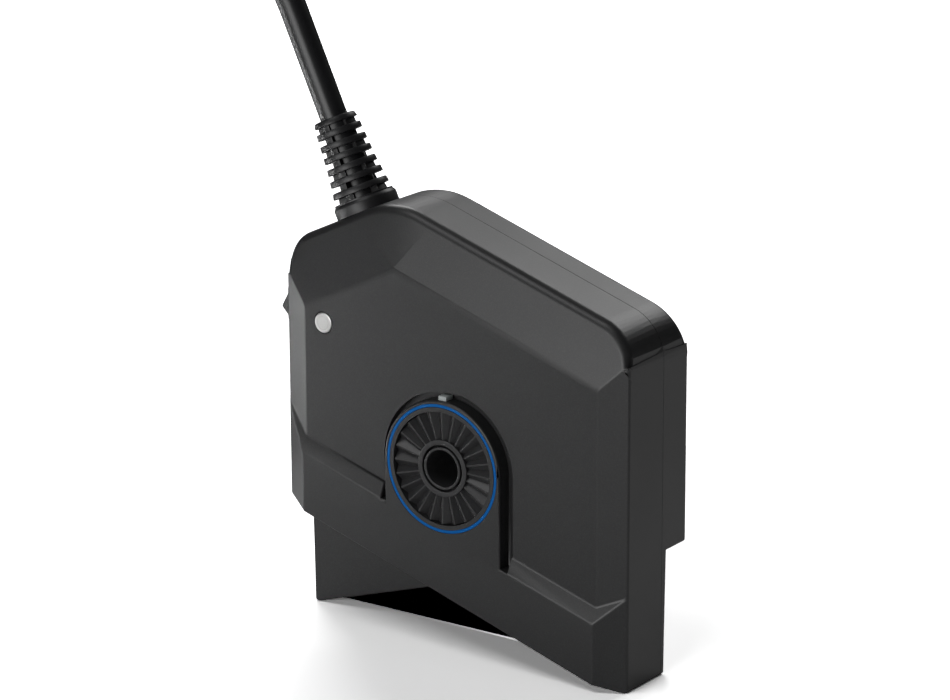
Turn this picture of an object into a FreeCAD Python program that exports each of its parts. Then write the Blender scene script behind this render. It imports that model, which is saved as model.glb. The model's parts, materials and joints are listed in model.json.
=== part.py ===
import FreeCAD, Part
import math
import os
from FreeCAD import Vector

# A scanning sonar transducer: a flat moulded housing with two crossed sloping
# feet, a splined mounting hub right through it, and a cable with a locking plug.
# Millimetres. +X is the viewer's right, the front face looks towards -Y, +Z is up.

os.makedirs("parts", exist_ok=True)

# Housing
body_width = 114.8          # side face to side face
body_depth = 39.1           # front face to rear face
lug_reach = 2.8             # moulded lug on the left side
shoulder_height = 100.45    # top line where it would meet the right side
cut_height = 110.45         # cut corner where it would meet the left side
top_slope = 0.335           # fall of the top line to the right
cut_slope = 0.466           # rise of the cut corner from the left
foot_slope = 0.316          # fall of each underside
shoulder_radius = 14.0
apex_radius = 25.0
cut_radius = 9.0
foot_radius = 1.0
wall = 3.0
leg_overlap = 8.1           # depth that the two feet share in the middle
seam_y = 2.35               # joint between the two shells, behind the middle
upper_step = 2.1            # the upper panel lies this far behind the lower one
edge_depth = 5.1            # depth at which the side bevels end
top_edge_depth = 7.0        # depth at which the top bevels end
side_bevel = 8.3
top_bevel = 16.7
cut_bevel = 18.8
band_height = 4.26          # height of the sloped step between the panels
band_drop = 19.2            # lower edge of the step, below the hub axis
lug_low, lug_tip, lug_high = 87.9, 90.9, 95.9

# Hub
hub_height = 54.95
hub_from_right = 58.2
bore_radius = 5.25          # clearance for an M10 bolt
sleeve_radius = 6.1
sleeve_gap = 0.6            # open groove round the sleeve
spline_inner = 8.2
spline_outer = 16.1
tooth_count = 24
tooth_rise = 1.5
spline_seat = 3.6           # depth of the pocket that the spline ring sits in
crest_depth = 0.35          # tooth crests lie this far below the hub face
ring_inner, ring_outer, ring_thick = 17.6, 18.5, 0.8
pedestal_radius = 19.5
moat_radius = 21.5
moat_shift = 0.5
moat_depth = 4.6
column_radius = 11.0
fit_gap = 0.05

# Temperature button
button_radius = 2.95
button_from_hub = (-41.7, 34.7)
button_proud = 0.25
button_length = 3.6

# Sonar arrays in the two undersides
window_start, window_end = 10.0, 108.0
window_front = 4.0          # front face to the window
window_back_y = -4.15       # back edge of the front window, in front of the middle
window_thick = 3.0
element_count = 24
element_size = (3.3, 2.4)   # along the slope, and up from the window
element_pitch = 3.9
backing_thick = 4.0
flex_thick = 0.4
flex_width = 22.0
flex_length = 24.0

# Electronics
board_thick = 1.6
board_space = 6.0           # rear panel's inside to the front side of the board
board_margin = 6.0
board_low, board_high = 50.0, 96.0
plate_thick = 2.0
plate_y = -2.55             # front side of the plate, in front of the middle
pillar_radius = 2.6
screw_radius = 1.25
screw_head = (2.2, 1.5)
chip_height = 1.4
chips_on_board = [          # left edge, bottom edge, width, height
    (-24, 74, 12, 12), (-8, 80, 10, 10), (12, 79, 16, 12), (31, 78, 9, 13), (30, 60, 8, 8)]
can_left, can_right, can_height, can_wall = -22, 26, 2.4, 0.4
can_above_hub, can_below_edge = 17.0, 4.0

# Cable, strain relief and plug
cable_diameter = 8.0
cable_tilt = 25.0           # degrees from upright, towards the left
boot_base_radius = 9.2
boot_tip_radius = 5.9
boot_length = 27.7
boot_slots = 7
slot_width = 1.6
slot_start = 4.2            # flange to the first slot
slot_pitch = 3.38
rib_width = 5.0
stem_radius = 6.5
stem_length = 7.0
exit_from_left = 18.1       # cable axis where it crosses the cut corner
hank_centre_x = -295.0
hank_run = 120.0            # straight part of each turn
hank_inner_radius = 24.0
hank_columns = 2
hank_layers = 7
tie_width = 16.0
tie_thick = 1.2
plug_radius = 9.5
plug_length = 20.0
boot_part = 14.0            # strain relief moulded on the plug
spigot_radius = 7.7
insert_radius = 6.6
collar_grips = 12
collar_radius = 11.5
collar_length = 18.0
contact_count = 8

# Derived places
body_right = (body_width + lug_reach) / 2
body_left = body_right - body_width
body_middle = (body_left + body_right) / 2
front_y = -body_depth / 2
hub_x = body_right - hub_from_right
front_leg_back = leg_overlap / 2
rear_leg_front = -front_leg_back
cable_radius = cable_diameter / 2
foot_angle = math.atan(foot_slope)
# The rounded corner of a foot stands on z = 0, so its straight lines meet lower down
foot_sink = foot_radius * (math.tan(foot_angle) + 1 / math.cos(foot_angle) - 1)


def save(name, shape):
    shape.exportStep("parts/" + name + ".step")
    print(name, len(shape.Solids), round(shape.Volume, 1), shape.isValid())


def at_depth(depth, side):
    """Y of a depth measured in from the front (side -1) or the rear face (side 1)."""
    return side * (body_depth / 2 - depth)


def top_line(x):
    return shoulder_height + top_slope * (body_right - x)


def cut_line(x):
    return cut_height + cut_slope * (x - body_left)


def foot_line(x, side):
    run = body_right - x if side < 0 else x - body_left
    return foot_slope * run - foot_sink


def band_line(x, side):
    """Lower edge of the step; the rear one falls the other way."""
    hub_like = hub_x if side < 0 else 2 * body_middle - hub_x
    return hub_height - band_drop + side * foot_slope * (x - hub_like)


def rounded_face(corners):
    """Flat face in the XZ plane from (x, z, radius) corners, each rounded by an arc."""
    edges = []
    ends = []
    count = len(corners)
    for i in range(count):
        x, z, radius = corners[i]
        here = Vector(x, 0, z)
        back = (Vector(corners[i - 1][0], 0, corners[i - 1][1]) - here).normalize()
        ahead = corners[(i + 1) % count]
        on = (Vector(ahead[0], 0, ahead[1]) - here).normalize()
        if radius == 0:
            ends.append((here, here, None))
            continue
        half = back.getAngle(on) / 2
        reach = radius / math.tan(half)
        middle = (back + on).normalize() * (radius / math.sin(half))
        inward = middle * (1 - radius / middle.Length)
        ends.append((here + back * reach, here + on * reach, here + inward))
    for i in range(count):
        start, stop, through = ends[i]
        if through is not None:
            edges.append(Part.Arc(start, through, stop).toShape())
        edges.append(Part.LineSegment(stop, ends[(i + 1) % count][0]).toShape())
    return Part.Face(Part.Wire(edges))


def top_corners():
    apex_x = (shoulder_height - cut_height + top_slope * body_right + cut_slope * body_left)
    apex_x /= top_slope + cut_slope
    return [
        (body_right, shoulder_height, shoulder_radius),
        (apex_x, top_line(apex_x), apex_radius),
        (body_left, cut_height, cut_radius),
    ]


def leg_outline(side):
    return rounded_face(
        [(body_right, foot_line(body_right, side), foot_radius)]
        + top_corners()
        + [(body_left, foot_line(body_left, side), foot_radius)]
    )


def seam_outline():
    """Both feet together: the outline where the two shells meet."""
    crotch = foot_line(body_middle, -1)
    return rounded_face(
        [(body_right, -foot_sink, foot_radius)]
        + top_corners()
        + [(body_left, -foot_sink, foot_radius), (body_middle, crotch, 0)]
    )


def inset(face, distance):
    return Part.Face(face.makeOffset2D(-distance).Wires[0])


def slab(face, y_start, y_end):
    low, high = min(y_start, y_end), max(y_start, y_end)
    moved = face.copy()
    moved.translate(Vector(0, low, 0))
    return moved.extrude(Vector(0, high - low, 0))


def rod(x, z, radius, y_start, y_end):
    low, high = min(y_start, y_end), max(y_start, y_end)
    return Part.makeCylinder(radius, high - low, Vector(x, low, z), Vector(0, 1, 0))


def tube(x, z, outer, inner, y_start, y_end):
    low, high = min(y_start, y_end), max(y_start, y_end)
    return rod(x, z, outer, low, high).cut(rod(x, z, inner, low - 1, high + 1))


def block(x0, x1, y0, y1, z0, z1):
    return Part.makeBox(x1 - x0, y1 - y0, z1 - z0, Vector(x0, y0, z0))


def slope_cutter(point, outward, width, depth_in, depth_out, side):
    """Solid in front of a sloping plane.

    The plane starts at point at depth_in and reaches depth_out a width further on,
    in the outward direction of the XZ plane."""
    far = 200.0
    along = Vector(outward.z, 0, -outward.x)
    rate = (depth_out - depth_in) / width
    profile = [(-far, depth_in - far * rate), (far, depth_in + far * rate), (far, -far), (-far, -far)]
    points = []
    for reach, depth in profile:
        place = point + outward * reach - along * far
        points.append(Vector(place.x, at_depth(depth, side), place.z))
    wire = Part.makePolygon(points + [points[0]])
    return Part.Face(wire).extrude(along * (2 * far))


def top_cutters(side, extra):
    """The two broad bevels along the top; extra moves them inwards for the cavity."""
    top_out = Vector(top_slope, 0, 1).normalize()
    cut_out = Vector(-cut_slope, 0, 1).normalize()
    top_start = Vector(body_right, 0, shoulder_height) - top_out * top_bevel
    cut_start = Vector(body_left, 0, cut_height) - cut_out * cut_bevel
    depth_in, depth_out = upper_step + extra, top_edge_depth + extra
    return [
        slope_cutter(top_start, top_out, top_bevel, depth_in, depth_out, side),
        slope_cutter(cut_start, cut_out, cut_bevel, depth_in, depth_out, side),
    ]


def side_cutters(side, depth_in, extra):
    right = slope_cutter(Vector(body_right - side_bevel, 0, 0), Vector(1, 0, 0), side_bevel,
                         depth_in + extra, edge_depth + extra, side)
    left = slope_cutter(Vector(body_left + side_bevel, 0, 0), Vector(-1, 0, 0), side_bevel,
                        depth_in + extra, edge_depth + extra, side)
    return [right, left]


def band_cutter(side):
    """Everything in front of and above the sloped step."""
    up = Vector(-side * foot_slope, 0, 1).normalize()
    start = Vector(hub_x, 0, band_line(hub_x, side))
    return slope_cutter(start, up, band_height * up.z, 0, upper_step, side)


def hub_arch(radius, shift, side):
    """Upside-down U round the hub, its legs running down into the step."""
    centre = hub_x + shift
    left, right = centre - radius, centre + radius
    low_left = band_line(left, side)
    low_right = band_line(right, side)
    over = Vector(centre, 0, hub_height + radius)
    edges = [
        Part.LineSegment(Vector(left, 0, low_left), Vector(left, 0, hub_height)).toShape(),
        Part.Arc(Vector(left, 0, hub_height), over, Vector(right, 0, hub_height)).toShape(),
        Part.LineSegment(Vector(right, 0, hub_height), Vector(right, 0, low_right)).toShape(),
        Part.LineSegment(Vector(right, 0, low_right), Vector(left, 0, low_left)).toShape(),
    ]
    return Part.Face(Part.Wire(edges))


def cut_all(shape, tools):
    for tool in tools:
        shape = shape.cut(tool)
    return shape


def outer_half(side, split_y):
    """Solid half housing, before it is hollowed, from its face to the seam."""
    face = leg_outline(side)
    upper = slab(face, at_depth(upper_step, side), split_y)
    upper = cut_all(upper, top_cutters(side, 0) + side_cutters(side, upper_step, 0))
    lower = slab(face, at_depth(0, side), split_y)
    lower = cut_all(lower, side_cutters(side, 0, 0) + [band_cutter(side)])
    arch = slab(hub_arch(pedestal_radius, 0, side), at_depth(0, side), at_depth(moat_depth + 1, side))
    moat = slab(hub_arch(moat_radius, moat_shift, side), at_depth(-1, side), at_depth(moat_depth, side))
    return upper.fuse(lower).cut(moat.cut(arch)).fuse(arch)


def hub_pockets(side):
    """Seats of the spline ring, the coloured ring and the sleeve."""
    seat = rod(hub_x, hub_height, spline_outer + 0.2, at_depth(-1, side), at_depth(spline_seat, side))
    groove = tube(hub_x, hub_height, ring_outer + fit_gap, ring_inner - fit_gap,
                  at_depth(ring_thick, side), at_depth(-1, side))
    return [seat, groove]


def seal_ring(y_start, y_end, spare):
    face = seam_outline()
    outer = slab(inset(face, wall * 0.33 - spare), y_start, y_end)
    return outer.cut(slab(inset(face, wall * 0.67 + spare), y_start - 1, y_end + 1))


def cavity(side, split_y):
    """Inside of one shell; both walls of a foot keep the wall thickness."""
    main = slab(inset(leg_outline(side), wall), at_depth(upper_step + wall, side), split_y)
    main = cut_all(main, top_cutters(side, wall * 1.1) + side_cutters(side, upper_step, wall * 1.1))
    if side < 0:
        legs = slab(inset(seam_outline(), wall), rear_leg_front + wall, split_y)
        main = main.fuse(legs)
    return main


def window_box(along0, along1, up0, up1, y0, y1):
    """Box on the front foot's underside: along from its right corner, up from the surface."""
    box = Part.makeBox(along1 - along0, y1 - y0, up1 - up0, Vector(-along1, y0, up0))
    box.rotate(Vector(0, 0, 0), Vector(0, 1, 0), math.degrees(foot_angle))
    box.translate(Vector(body_right, 0, -foot_sink))
    return box


def turned(shape):
    """The same piece in the other foot: half a turn about the upright axis."""
    other = shape.copy()
    other.rotate(Vector(body_middle, 0, 0), Vector(0, 0, 1), 180)
    return other


window_y0 = front_y + window_front
window_y1 = window_back_y


def window_opening():
    return window_box(window_start - fit_gap, window_end + fit_gap, -2, wall * 3.3,
                      window_y0 - fit_gap, window_y1 + fit_gap)


# Cable exit
tilt = math.radians(cable_tilt)
exit_axis = Vector(-math.sin(tilt), 0, math.cos(tilt))
exit_x = body_left + exit_from_left
exit_point = Vector(exit_x, 0, cut_line(exit_x))
boot_tip = exit_point + exit_axis * boot_length


def along_exit(radius, start, length):
    return Part.makeCylinder(radius, length, exit_point + exit_axis * start, exit_axis)


def board_spots():
    """Places of the pillars that carry the board."""
    x0, x1 = body_left + wall + board_margin, body_right - wall - board_margin
    low, high = board_low + 5, board_high - 5
    return [(x0 + 5, low), (x1 - 5, low), (x0 + 18, high), (x1 - 5, high)]


def make_shells():
    front = outer_half(-1, seam_y)
    front = front.fuse(slab(leg_outline(1), rear_leg_front, seam_y))
    lug_face = Part.Face(Part.makePolygon([
        Vector(body_left + 1, 0, lug_low), Vector(body_left, 0, lug_low),
        Vector(body_left - lug_reach, 0, lug_tip), Vector(body_left, 0, lug_high),
        Vector(body_left + 1, 0, lug_high), Vector(body_left + 1, 0, lug_low)]))
    front = front.fuse(slab(lug_face, front_y + edge_depth + 0.6, front_y + edge_depth + 4.2))
    front = front.cut(cavity(-1, seam_y))
    for x, z in board_spots():
        front = front.fuse(rod(x, z, pillar_radius + 0.6, front_y + upper_step + wall - 0.5,
                               plate_y))
    front = front.fuse(rod(hub_x, hub_height, column_radius, front_y + spline_seat, seam_y))
    thick = tube(hub_x, hub_height, spline_outer + 2.4, spline_outer - 2, front_y + spline_seat - 1,
                 front_y + spline_seat + 2.4)
    front = front.fuse(thick)
    front = cut_all(front, hub_pockets(-1))
    front = front.cut(rod(hub_x, hub_height, sleeve_radius + fit_gap, front_y - 1, seam_y + 1))
    front = front.cut(window_opening())
    front = front.cut(seal_ring(seam_y - 0.8, seam_y + 1, 0.05))
    front = front.cut(along_exit(stem_radius + fit_gap, -30, 60))
    button_x, button_z = hub_x + button_from_hub[0], hub_height + button_from_hub[1]
    front = front.cut(rod(button_x, button_z, button_radius + fit_gap, front_y - 1, front_y + 9))

    rear = outer_half(1, seam_y)
    rear = rear.fuse(slab(leg_outline(-1), seam_y, front_leg_back))
    rear = rear.cut(cavity(1, seam_y))
    rear = rear.fuse(rod(hub_x, hub_height, column_radius, seam_y, -front_y - spline_seat))
    thick = tube(hub_x, hub_height, spline_outer + 2.4, spline_outer - 2, -front_y - spline_seat - 2.4,
                 -front_y - spline_seat + 1)
    rear = rear.fuse(thick)
    rear = cut_all(rear, hub_pockets(1))
    rear = rear.cut(rod(hub_x, hub_height, sleeve_radius + fit_gap, seam_y - 1, -front_y + 1))
    rear = rear.cut(turned(window_opening()))
    rear = rear.cut(seal_ring(seam_y - 1, seam_y + 0.8, 0.05))
    rear = rear.cut(along_exit(stem_radius + fit_gap, -30, 60))
    save("front_shell", front.removeSplitter())
    save("rear_shell", rear.removeSplitter())
    seal = seal_ring(seam_y - 0.75, seam_y + 0.75, 0)
    save("shell_seal", seal.cut(along_exit(stem_radius + fit_gap, -30, 60)))


def spline_ring(side):
    """Flat ring with radial V teeth that key the mount at fixed angles."""
    back, valley = spline_seat, crest_depth + tooth_rise
    ring = tube(hub_x, hub_height, spline_outer, sleeve_radius + sleeve_gap,
                at_depth(back, side), at_depth(valley, side))
    boss = tube(hub_x, hub_height, spline_inner, sleeve_radius + sleeve_gap,
                at_depth(valley + 0.1, side), at_depth(crest_depth, side))
    ring = ring.fuse(boss)
    half = math.pi / tooth_count * 0.98
    teeth = []
    for i in range(tooth_count):
        middle = 2 * math.pi * i / tooth_count
        wires = []
        for radius, rise in ((spline_inner - 0.3, 0.75), (spline_outer, 1.0)):
            corners = []
            for turn, depth in ((-half, valley + 0.1), (half, valley + 0.1), (0, valley - tooth_rise * rise)):
                angle = middle + turn
                corners.append(Vector(hub_x + radius * math.sin(angle), at_depth(depth, side),
                                      hub_height + radius * math.cos(angle)))
            wires.append(Part.makePolygon(corners + [corners[0]]))
        teeth.append(Part.makeLoft(wires, True, True))
    ring = ring.multiFuse(teeth).removeSplitter()
    return ring.cut(rod(hub_x, hub_height, sleeve_radius + sleeve_gap, front_y, -front_y))


def make_hub():
    save("hub_spline_front", spline_ring(-1))
    save("hub_spline_rear", spline_ring(1))
    save("aim_ring_front", tube(hub_x, hub_height, ring_outer, ring_inner,
                                front_y, front_y + ring_thick - fit_gap))
    save("aim_ring_rear", tube(hub_x, hub_height, ring_outer, ring_inner,
                               -front_y - ring_thick + fit_gap, -front_y))
    save("hub_sleeve", tube(hub_x, hub_height, sleeve_radius, bore_radius,
                            front_y + crest_depth, -front_y - crest_depth))
    mark = block(hub_x - 1.5, hub_x + 1.5, front_y, front_y + moat_depth,
                 hub_height + pedestal_radius - 2, hub_height + moat_radius - 0.1)
    mark = mark.cut(rod(hub_x, hub_height, pedestal_radius + 0.02, front_y - 1, front_y + moat_depth + 1))
    save("index_mark", mark)


def make_button():
    button_x, button_z = hub_x + button_from_hub[0], hub_height + button_from_hub[1]
    face = front_y + upper_step
    save("temperature_button", rod(button_x, button_z, button_radius, face - button_proud,
                                   face - button_proud + button_length))
    back = face - button_proud + button_length
    save("temperature_sensor", rod(button_x, button_z, 1.4, back, back + 3.0))


def make_array(front_name, rear_name, shape):
    save(front_name, shape)
    save(rear_name, turned(shape))


def make_arrays():
    window = window_box(window_start, window_end, 0.2, window_thick, window_y0, window_y1)
    make_array("front_array_window", "rear_array_window", window)
    element_along, element_up = element_size
    row = []
    first = (window_start + window_end - (element_count - 1) * element_pitch) / 2
    for i in range(element_count):
        middle = first + i * element_pitch
        row.append(window_box(middle - element_along / 2, middle + element_along / 2, window_thick,
                              window_thick + element_up, window_y0 + 1, window_y1 - 1))
    make_array("front_array_elements", "rear_array_elements", Part.makeCompound(row))
    back = window_thick + element_up
    edge = first - element_along
    backing = window_box(edge, window_start + window_end - edge, back, back + backing_thick,
                         window_y0 + 0.6, window_y1 - 0.6)
    make_array("front_array_backing", "rear_array_backing", backing)
    middle = (window_start + window_end) / 2 - 12
    top = back + backing_thick
    flex = window_box(middle - flex_width / 2, middle + flex_width / 2, top, top + flex_length,
                      window_y1 - 2 - flex_thick, window_y1 - 2)
    flex = flex.cut(rod(hub_x, hub_height, column_radius + 4, front_y, -front_y))
    make_array("front_array_flex", "rear_array_flex", flex)


def make_electronics():
    x0, x1 = body_left + wall + board_margin, body_right - wall - board_margin
    board_y = -front_y - upper_step - wall - board_space
    hole = rod(hub_x, hub_height, column_radius + 1, front_y, -front_y)
    screws, pillars, holes = [], [], []
    plate_back = plate_y + plate_thick
    for x, z in board_spots():
        pillars.append(tube(x, z, pillar_radius, screw_radius + fit_gap, plate_back, board_y))
        shank = rod(x, z, screw_radius, plate_back + 1, board_y + board_thick)
        head = rod(x, z, screw_head[0], board_y + board_thick, board_y + board_thick + screw_head[1])
        screws.append(shank.fuse(head))
        holes.append(rod(x, z, screw_radius + fit_gap, board_y - 1, board_y + board_thick + 1))
    board = block(x0, x1, board_y, board_y + board_thick, board_low, board_high)
    save("main_board", cut_all(board, holes + [hole]))
    plate = block(x0, x1, plate_y, plate_back, board_low, board_high)
    save("chassis_plate", plate.cut(hole))
    save("board_pillars", Part.makeCompound(pillars))
    save("board_screws", Part.makeCompound(screws))
    chips = []
    for x, z, width, height in chips_on_board:
        chips.append(block(x, x + width, board_y - chip_height, board_y, z, z + height))
    save("board_chips", Part.makeCompound(chips))
    can_back = board_y + board_thick + can_height
    can_low, can_high = hub_height + can_above_hub, board_high - can_below_edge
    can = block(can_left, can_right, board_y + board_thick, can_back, can_low, can_high)
    hollow = block(can_left + can_wall, can_right - can_wall, board_y + board_thick - 1, can_back - can_wall,
                   can_low + can_wall, can_high - can_wall)
    can = can.cut(hollow)
    save("shield_can", can)


def make_boot():
    """Tapered strain relief with slots that open in turn to the sides and to front and back."""
    profile = [(0, 0), (boot_base_radius, 0), (boot_base_radius, 3.2), (8.7, 4.0), (8.0, 7.5),
               (7.2, 14), (6.4, boot_length - 1.8), (boot_tip_radius, boot_length),
               (0, boot_length)]
    points = [Vector(radius, 0, height) for radius, height in profile]
    body = Part.Face(Part.makePolygon(points + [points[0]])).revolve(Vector(0, 0, 0), Vector(0, 0, 1), 360)
    body = body.fuse(Part.makeCylinder(stem_radius, stem_length, Vector(0, 0, -stem_length)))
    for i in range(boot_slots):
        height = slot_start + i * slot_pitch
        groove = Part.makeCylinder(20, slot_width, Vector(0, 0, height))
        groove = groove.cut(Part.makeCylinder(cable_radius + 0.7, slot_width + 2, Vector(0, 0, height - 1)))
        if i % 2:
            rib = Part.makeBox(rib_width, 40, slot_width + 2, Vector(-rib_width / 2, -20, height - 1))
        else:
            rib = Part.makeBox(40, rib_width, slot_width + 2, Vector(-20, -rib_width / 2, height - 1))
        body = body.cut(groove.cut(rib))
    body.rotate(Vector(0, 0, 0), Vector(0, 1, 0), -cable_tilt)
    body.translate(exit_point)
    save("strain_relief_boot", body.removeSplitter())
    seal = along_exit(stem_radius + 1.0, -wall - 3.2, 2.0)
    save("gland_seal", seal.cut(along_exit(stem_radius + 0.02, -wall - 4, 4)))
    tail = along_exit(cable_radius, -stem_length - 12, 12)
    save("inner_cable_tail", tail)
    clamp = along_exit(cable_radius + 2.4, -stem_length - 9, 5)
    save("cable_clamp", clamp.cut(along_exit(cable_radius + fit_gap, -stem_length - 10, 8)))


def rounded_route(points):
    """Straight runs joined by arcs tangent to them, as one wire; prints every radius."""
    edges = []
    start = points[0]
    for before, here, after in zip(points, points[1:], points[2:]):
        back = (before - here).normalize()
        on = (after - here).normalize()
        turn = math.pi - back.getAngle(on)
        shorter = min((before - here).Length, (after - here).Length)
        reach = 0.45 * shorter
        radius = reach / math.tan(turn / 2)
        print("  turn %.0f degrees, radius %.1f" % (math.degrees(turn), radius))
        middle = (back + on).normalize()
        centre_distance = math.hypot(radius, reach)
        arc_start, arc_end = here + back * reach, here + on * reach
        edges.append(Part.LineSegment(start, arc_start).toShape())
        edges.append(Part.Arc(arc_start, here + middle * (centre_distance - radius), arc_end).toShape())
        start = arc_end
    edges.append(Part.LineSegment(start, points[-1]).toShape())
    return Part.Wire(edges)


def swept_tube(points, radius):
    wire = rounded_route(points)
    direction = (points[1] - points[0]).normalize()
    ring = Part.Wire(Part.Circle(points[0], direction, radius).toShape())
    solid = wire.makePipeShell([ring], True, False)
    expected = math.pi * radius ** 2 * wire.Length
    print("  length %.1f, volume ratio %.4f" % (wire.Length, solid.Volume / expected))
    return solid


# Route of the cable from the strain relief to the hank
hank_outer_radius = hank_inner_radius + cable_diameter * (hank_columns - 1)
hank_near_x = hank_centre_x + hank_run / 2
hank_low = tie_thick
hank_high = tie_thick + hank_layers * cable_diameter
lay_z = hank_low + cable_radius
cable_route = [
    boot_tip,
    boot_tip + exit_axis * 34,
    Vector(-92, -2, 200),
    Vector(-127, -7, 206),
    Vector(-157, -14, 190),
    Vector(-174, -21, 160),
    Vector(-177, -26, 125),
    Vector(-172, -30, 92),
    Vector(-168, -33, 62),
    Vector(-171, -34, 38),
    Vector(-181, -33.5, 21),
    Vector(-197, -32.5, 9.5),
    Vector(-215, -hank_outer_radius, lay_z),
    Vector(hank_near_x, -hank_outer_radius, lay_z),
]

# Route of the free end from the hank to the plug, lying in the hank's opening
plug_z = collar_radius + 0.2
plug_start_x = hank_near_x - 80
tail_route = [
    Vector(hank_near_x, -hank_inner_radius, lay_z),
    Vector(hank_near_x - 12, -hank_inner_radius, lay_z),
    Vector(hank_near_x - 25, -20.5, 5.8),
    Vector(hank_near_x - 39, -13.5, 7.6),
    Vector(hank_near_x - 53, -5.5, 10.0),
    Vector(hank_near_x - 67, 0, plug_z),
    Vector(plug_start_x, 0, plug_z),
]


def stadium(radius, z_low, z_high):
    """Upright prism with the hank's plan shape."""
    left, right = hank_centre_x - hank_run / 2, hank_near_x
    solid = block(left, right, -radius, radius, z_low, z_high)
    for x in (left, right):
        solid = solid.fuse(Part.makeCylinder(radius, z_high - z_low, Vector(x, 0, z_low)))
    return solid


def make_cable():
    save("cable", swept_tube(cable_route, cable_radius))
    save("cable_tail", swept_tube(tail_route, cable_radius))
    outer, inner = hank_outer_radius + cable_radius, hank_inner_radius - cable_radius
    hank = stadium(outer, hank_low, hank_high).cut(stadium(inner, hank_low - 1, hank_high + 1))
    entry = block(hank_near_x, hank_near_x + 60, -outer - 1, -hank_outer_radius + cable_radius + 0.3,
                  hank_low - 1, hank_low + cable_diameter + 0.6)
    leaving = block(hank_near_x - 70, hank_near_x, -hank_inner_radius - cable_radius - 0.3, 0,
                    hank_low - 1, hank_low + cable_diameter + 4)
    save("cable_hank", hank.cut(entry).cut(leaving).removeSplitter())
    reach = outer + 0.3
    tie_x = hank_centre_x + hank_run / 4
    tie = block(tie_x - tie_width / 2, tie_x + tie_width / 2, -reach - tie_thick, reach + tie_thick,
                0, hank_high + 0.3 + tie_thick)
    tie = tie.cut(block(tie_x - tie_width, tie_x + tie_width, -reach, reach,
                        tie_thick - 0.3, hank_high + 0.3))
    save("hank_tie", tie)


def plug_rod(radius, start, length):
    """Cylinder on the plug's axis, start measured from the cable end of the plug."""
    return Part.makeCylinder(radius, length, Vector(plug_start_x - start, 0, plug_z), Vector(-1, 0, 0))


def make_plug():
    profile = [(0, 0), (5.2, 0), (plug_radius - 1.2, boot_part), (0, boot_part)]
    points = [Vector(plug_start_x - along, 0, plug_z + radius) for radius, along in profile]
    axis_point = Vector(plug_start_x, 0, plug_z)
    boot = Part.Face(Part.makePolygon(points + [points[0]])).revolve(axis_point, Vector(1, 0, 0), 360)
    save("plug_boot", boot)
    body = plug_rod(plug_radius, boot_part, plug_length)
    spigot_start = boot_part + plug_length
    body = body.fuse(plug_rod(spigot_radius, spigot_start, collar_length - 3))
    body = body.cut(plug_rod(insert_radius + fit_gap, spigot_start, collar_length))
    save("plug_body", body.removeSplitter())
    collar = plug_rod(collar_radius, spigot_start + 0.3, collar_length)
    collar = collar.cut(plug_rod(spigot_radius + 0.3, spigot_start - 1, collar_length + 5))
    grips = []
    for i in range(collar_grips):
        angle = 2 * math.pi * i / collar_grips
        y, z = collar_radius * math.sin(angle), plug_z + collar_radius * math.cos(angle)
        grips.append(Part.makeCylinder(1.0, collar_length - 5, Vector(plug_start_x - spigot_start - 3, y, z),
                                       Vector(-1, 0, 0)))
    save("plug_collar", cut_all(collar, grips).removeSplitter())
    insert = plug_rod(insert_radius, spigot_start, collar_length - 7)
    save("plug_insert", insert)
    pins = []
    for i in range(contact_count):
        angle = 2 * math.pi * i / contact_count
        y, z = 4.0 * math.sin(angle), plug_z + 4.0 * math.cos(angle)
        start = Vector(plug_start_x - spigot_start - collar_length + 7, y, z)
        pins.append(Part.makeCylinder(0.5, 4.5, start, Vector(-1, 0, 0)))
    save("plug_contacts", Part.makeCompound(pins))
    seal = plug_rod(spigot_radius, spigot_start + collar_length - 3, 1.4)
    save("plug_seal", seal.cut(plug_rod(spigot_radius - 1.3, spigot_start + collar_length - 4, 4)))


def save_all():
    make_shells()
    make_hub()
    make_button()
    make_arrays()
    make_electronics()
    make_boot()
    make_cable()
    make_plug()


save_all()
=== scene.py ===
import bmesh
import bpy
import json
import math
from mathutils import Matrix, Vector
from mathutils.bvhtree import BVHTree


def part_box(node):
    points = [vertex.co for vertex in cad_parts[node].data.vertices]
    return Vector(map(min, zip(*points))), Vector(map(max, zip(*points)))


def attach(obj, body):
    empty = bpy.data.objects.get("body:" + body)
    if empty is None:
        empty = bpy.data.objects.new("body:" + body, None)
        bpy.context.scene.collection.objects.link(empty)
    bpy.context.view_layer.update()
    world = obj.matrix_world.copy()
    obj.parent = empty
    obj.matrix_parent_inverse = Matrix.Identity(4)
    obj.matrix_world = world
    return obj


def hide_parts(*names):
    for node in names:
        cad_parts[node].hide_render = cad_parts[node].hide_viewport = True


# A scanning sonar transducer with its cable put away beside it. Sizes in the dictionaries are in mm
# unless a note says otherwise.
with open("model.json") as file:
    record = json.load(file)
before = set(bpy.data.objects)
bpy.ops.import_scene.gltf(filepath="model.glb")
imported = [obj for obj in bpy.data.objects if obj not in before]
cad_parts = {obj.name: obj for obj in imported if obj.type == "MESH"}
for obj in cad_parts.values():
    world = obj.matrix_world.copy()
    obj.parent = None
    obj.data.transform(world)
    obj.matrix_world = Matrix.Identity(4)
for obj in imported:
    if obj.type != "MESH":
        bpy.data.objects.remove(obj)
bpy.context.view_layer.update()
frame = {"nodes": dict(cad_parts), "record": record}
nodes = frame["nodes"]
scene = bpy.context.scene
mm = 0.001
main, collarBody = "transducer", "collar"
scene.view_settings.view_transform = "Standard"

# Camera
cameraView = {
    "place": (0.5700, -0.8093, 0.37625),    # metres
    "azimuth": 35.235,      # degrees towards the right of straight ahead
    "elevation": 16.433,
    "roll": -0.226,
    "lens": 141.08,         # on a sensor 36 mm wide
}


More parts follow.
